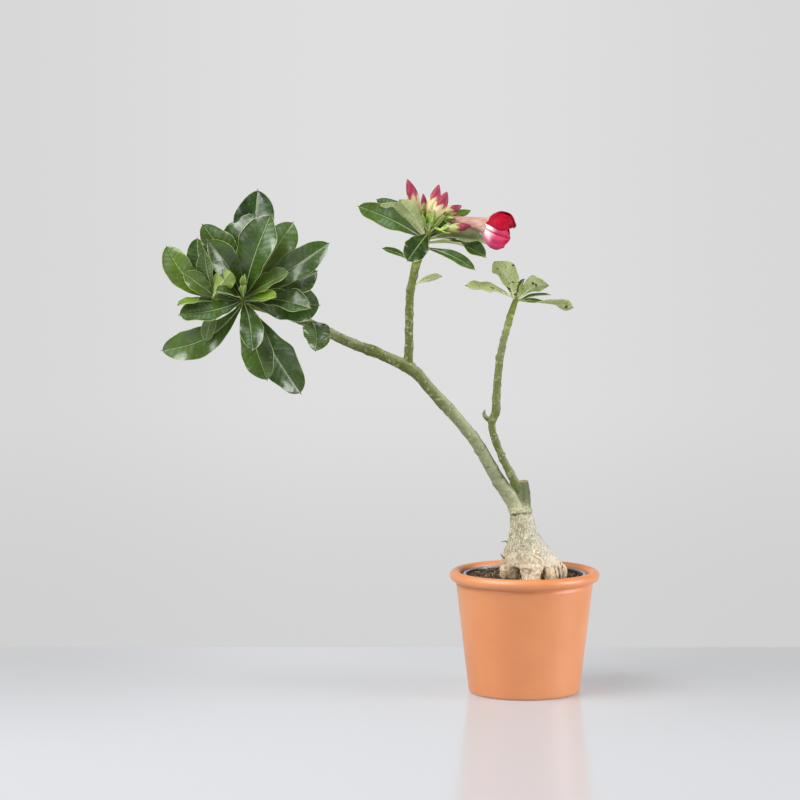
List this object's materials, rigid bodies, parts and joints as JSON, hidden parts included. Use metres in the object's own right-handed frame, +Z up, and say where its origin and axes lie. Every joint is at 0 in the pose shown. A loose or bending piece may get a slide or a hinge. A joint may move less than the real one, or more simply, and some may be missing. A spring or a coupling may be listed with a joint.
{
  "type": "potted desert rose",
  "caption": "Potted desert rose: swollen caudex, bare arching limbs, rosettes of leathery leaves and a cluster of pink flowers, standing in a round terracotta pot.",
  "frame": {"origin": "centre of the terracotta pot's underside", "axes": "+Z up along the pot's axis; -Y towards the viewer of the picture; the long limb leans to -X"},
  "size_m": [0.3736, 0.1573, 0.445],
  "materials": {
    "terracotta": "satin",
    "nursery_plastic": "satin",
    "soil": "matte",
    "bark": "matte",
    "leaf": "satin",
    "sepal": "matte",
    "bud": "matte",
    "petal": "matte",
    "anther": "matte"
  },
  "bodies": {
    "root": {"terracotta_pot": "terracotta", "nursery_pot": "nursery_plastic", "soil": "soil", "woody_plant": "bark", "left_rosette": "leaf", "middle_rosette": "leaf", "right_rosette": "leaf", "low_leaf": "leaf", "upper_stem_leaf": "leaf", "lower_stem_leaf": "leaf", "flower_stalks": "sepal", "bud_1": "bud", "bud_2": "bud", "bud_3": "bud", "bud_4": "bud", "bud_5": "bud", "bud_6": "bud", "open_flower": "petal", "flower_heart": "anther"}
  },
  "joints": []
}
